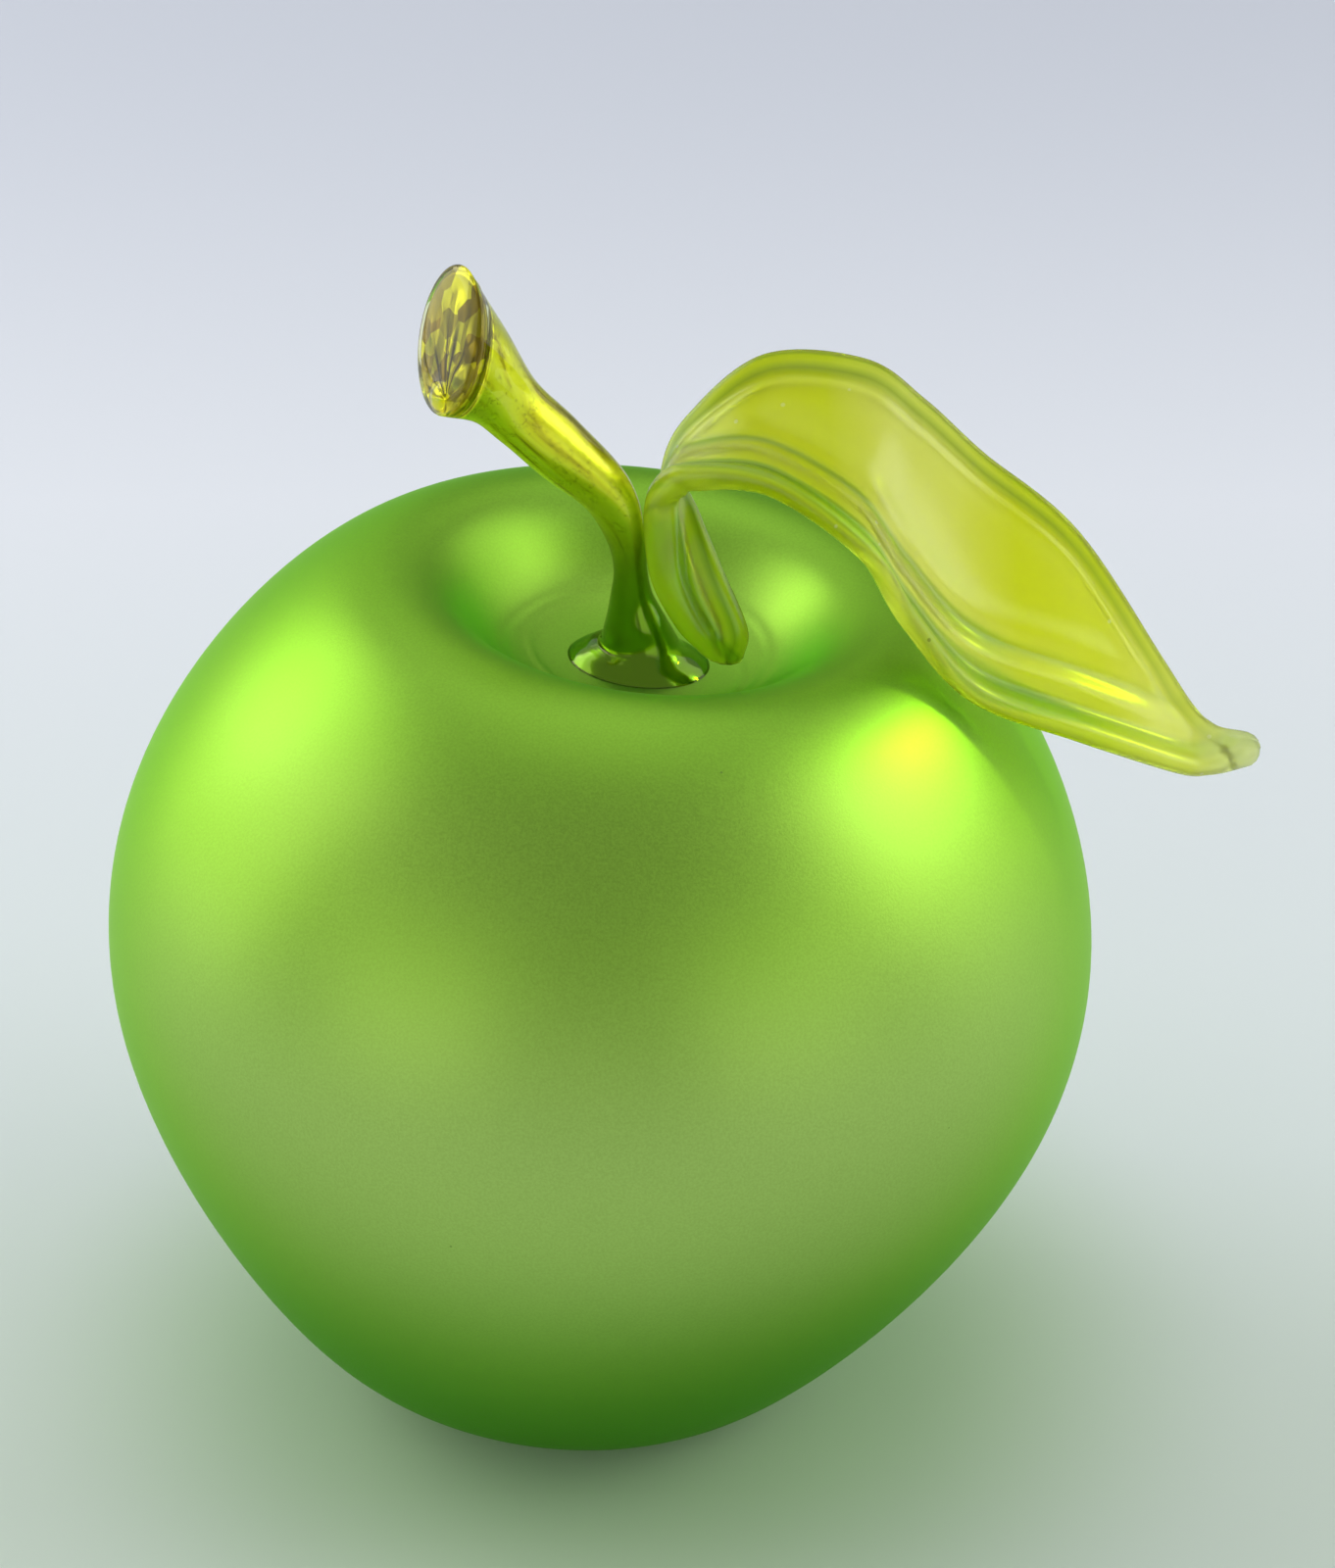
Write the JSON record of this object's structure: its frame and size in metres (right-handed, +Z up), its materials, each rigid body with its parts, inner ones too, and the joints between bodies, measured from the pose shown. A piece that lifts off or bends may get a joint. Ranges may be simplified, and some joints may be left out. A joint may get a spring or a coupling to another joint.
{
  "type": "glass apple ornament",
  "caption": "Hand-blown satin glass apple with a clear glass stem and a curling glass leaf, a tabletop ornament that stands on a small ground flat.",
  "frame": {"origin": "centre of the ground flat that the apple stands on", "axes": "+Z up, the object's longest extent; +X towards the leaf's tip; +Y away from the viewer, the shortest extent"},
  "size_m": [0.1048, 0.0912, 0.1143],
  "materials": {
    "apple_satin_glass": "green glass, silvered inside and etched satin outside, opaque with a soft metallic glow",
    "stem_clear_glass": "clear yellow-amber glass, fire-polished and glossy",
    "leaf_satin_glass": "yellow-green glass with a light satin etch, translucent, thicker and darker at the rims"
  },
  "bodies": {
    "root": {"apple_body": "apple_satin_glass", "stem": "stem_clear_glass", "leaf": "leaf_satin_glass"}
  },
  "joints": []
}
